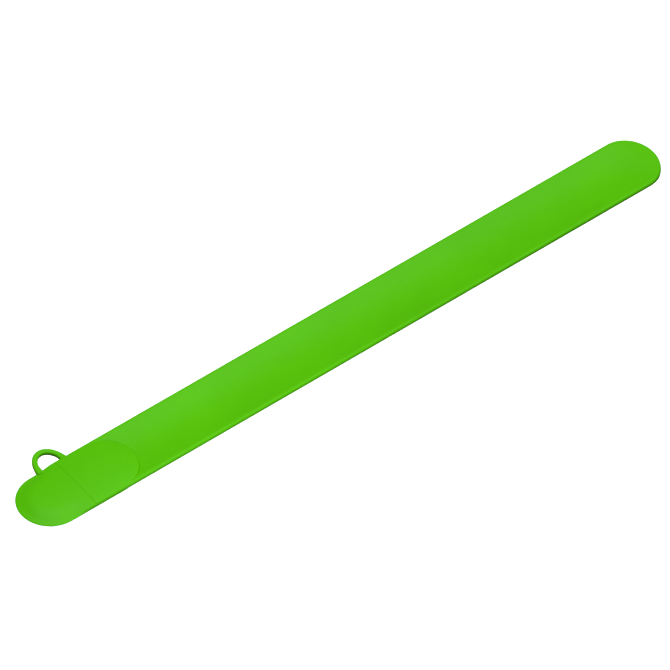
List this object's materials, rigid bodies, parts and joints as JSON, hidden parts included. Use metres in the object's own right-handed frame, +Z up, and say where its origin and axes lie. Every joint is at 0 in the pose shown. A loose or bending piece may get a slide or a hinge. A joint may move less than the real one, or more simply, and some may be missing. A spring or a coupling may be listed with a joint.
{
  "type": "slap band flash drive",
  "caption": "Flat silicone wrist band that curls shut, with a capped plug and memory board in its end pod.",
  "frame": {"origin": "middle of the flat under the pod's fixed half", "axes": "+X along the band from the pod to the tip, +Y towards the side with the loop, +Z up out of the band's hollow face"},
  "size_m": [0.2349, 0.0277, 0.0081],
  "materials": {
    "silicone": "satin",
    "spring_steel": "cold rolled",
    "plated_steel": "nickel plated",
    "tongue_plastic": "moulded",
    "gold_contact": "gold flash",
    "board": "solder mask",
    "chip_resin": "matte",
    "ceramic": "ceramic",
    "tray_plastic": "moulded"
  },
  "bodies": {
    "pod": {"pod_body": "silicone", "spring_root": "spring_steel", "tether_loop": "silicone", "plug_shell": "plated_steel", "plug_tongue": "tongue_plastic", "contact_1": "gold_contact", "contact_2": "gold_contact", "contact_3": "gold_contact", "contact_4": "gold_contact", "circuit_board": "board", "memory_chip": "chip_resin", "controller_chip": "chip_resin", "crystal": "plated_steel", "capacitors": "ceramic", "tray_lower": "tray_plastic", "tray_upper": "tray_plastic"},
    "cap": {"cap": "silicone"},
    "band_01": {"sleeve_01": "silicone", "spring_01": "spring_steel"},
    "band_02": {"sleeve_02": "silicone", "spring_02": "spring_steel"},
    "band_03": {"sleeve_03": "silicone", "spring_03": "spring_steel"},
    "band_04": {"sleeve_04": "silicone", "spring_04": "spring_steel"},
    "band_05": {"sleeve_05": "silicone", "spring_05": "spring_steel"},
    "band_06": {"sleeve_06": "silicone", "spring_06": "spring_steel"},
    "band_07": {"sleeve_07": "silicone", "spring_07": "spring_steel"},
    "band_08": {"sleeve_08": "silicone", "spring_08": "spring_steel"},
    "band_09": {"sleeve_09": "silicone", "spring_09": "spring_steel"},
    "band_10": {"sleeve_10": "silicone", "spring_10": "spring_steel"},
    "band_11": {"sleeve_11": "silicone", "spring_11": "spring_steel"},
    "band_12": {"sleeve_12": "silicone", "spring_12": "spring_steel"},
    "band_13": {"sleeve_13": "silicone", "spring_13": "spring_steel"},
    "band_14": {"sleeve_14": "silicone", "spring_14": "spring_steel"},
    "band_15": {"sleeve_15": "silicone", "spring_15": "spring_steel"},
    "band_16": {"sleeve_16": "silicone", "spring_16": "spring_steel"}
  },
  "joints": [
    {"name": "cap_pull", "type": "slide", "parent": "pod", "child": "cap", "axis": [-1, 0, 0], "range_m": [0, 0.014], "deforming": ["tether_loop"]},
    {"name": "band_curl", "type": "hinge", "parent": "pod", "child": "band_01", "pos_m": [0.01795, 0, 0.0039], "axis": [0, 1, 0], "range_deg": [0, 18.5]},
    {"name": "bend_02", "type": "hinge", "parent": "band_01", "child": "band_02", "pos_m": [0.02954, 0, 0.0039], "axis": [0, 1, 0], "range_deg": [0, 18.5]},
    {"name": "bend_03", "type": "hinge", "parent": "band_02", "child": "band_03", "pos_m": [0.04114, 0, 0.0039], "axis": [0, 1, 0], "range_deg": [0, 18.5]},
    {"name": "bend_04", "type": "hinge", "parent": "band_03", "child": "band_04", "pos_m": [0.05273, 0, 0.0039], "axis": [0, 1, 0], "range_deg": [0, 18.5]},
    {"name": "bend_05", "type": "hinge", "parent": "band_04", "child": "band_05", "pos_m": [0.06432, 0, 0.0039], "axis": [0, 1, 0], "range_deg": [0, 18.5]},
    {"name": "bend_06", "type": "hinge", "parent": "band_05", "child": "band_06", "pos_m": [0.07592, 0, 0.0039], "axis": [0, 1, 0], "range_deg": [0, 18.5]},
    {"name": "bend_07", "type": "hinge", "parent": "band_06", "child": "band_07", "pos_m": [0.08751, 0, 0.0039], "axis": [0, 1, 0], "range_deg": [0, 18.5]},
    {"name": "bend_08", "type": "hinge", "parent": "band_07", "child": "band_08", "pos_m": [0.0991, 0, 0.0039], "axis": [0, 1, 0], "range_deg": [0, 18.5]},
    {"name": "bend_09", "type": "hinge", "parent": "band_08", "child": "band_09", "pos_m": [0.11069, 0, 0.0039], "axis": [0, 1, 0], "range_deg": [0, 18.5]},
    {"name": "bend_10", "type": "hinge", "parent": "band_09", "child": "band_10", "pos_m": [0.12229, 0, 0.0039], "axis": [0, 1, 0], "range_deg": [0, 18.5]},
    {"name": "bend_11", "type": "hinge", "parent": "band_10", "child": "band_11", "pos_m": [0.13388, 0, 0.0039], "axis": [0, 1, 0], "range_deg": [0, 18.5]},
    {"name": "bend_12", "type": "hinge", "parent": "band_11", "child": "band_12", "pos_m": [0.14547, 0, 0.0039], "axis": [0, 1, 0], "range_deg": [0, 18.5]},
    {"name": "bend_13", "type": "hinge", "parent": "band_12", "child": "band_13", "pos_m": [0.15707, 0, 0.0039], "axis": [0, 1, 0], "range_deg": [0, 18.5]},
    {"name": "bend_14", "type": "hinge", "parent": "band_13", "child": "band_14", "pos_m": [0.16866, 0, 0.0039], "axis": [0, 1, 0], "range_deg": [0, 18.5]},
    {"name": "bend_15", "type": "hinge", "parent": "band_14", "child": "band_15", "pos_m": [0.18025, 0, 0.0039], "axis": [0, 1, 0], "range_deg": [0, 18.5]},
    {"name": "bend_16", "type": "hinge", "parent": "band_15", "child": "band_16", "pos_m": [0.19185, 0, 0.0039], "axis": [0, 1, 0], "range_deg": [0, 18.5]}
  ],
  "couplings": [
    {"joint": "bend_02", "follows": "band_curl", "ratio": 1},
    {"joint": "bend_03", "follows": "band_curl", "ratio": 1},
    {"joint": "bend_04", "follows": "band_curl", "ratio": 1},
    {"joint": "bend_05", "follows": "band_curl", "ratio": 1},
    {"joint": "bend_06", "follows": "band_curl", "ratio": 1},
    {"joint": "bend_07", "follows": "band_curl", "ratio": 1},
    {"joint": "bend_08", "follows": "band_curl", "ratio": 1},
    {"joint": "bend_09", "follows": "band_curl", "ratio": 1},
    {"joint": "bend_10", "follows": "band_curl", "ratio": 1},
    {"joint": "bend_11", "follows": "band_curl", "ratio": 1},
    {"joint": "bend_12", "follows": "band_curl", "ratio": 1},
    {"joint": "bend_13", "follows": "band_curl", "ratio": 1},
    {"joint": "bend_14", "follows": "band_curl", "ratio": 1},
    {"joint": "bend_15", "follows": "band_curl", "ratio": 1},
    {"joint": "bend_16", "follows": "band_curl", "ratio": 1}
  ]
}
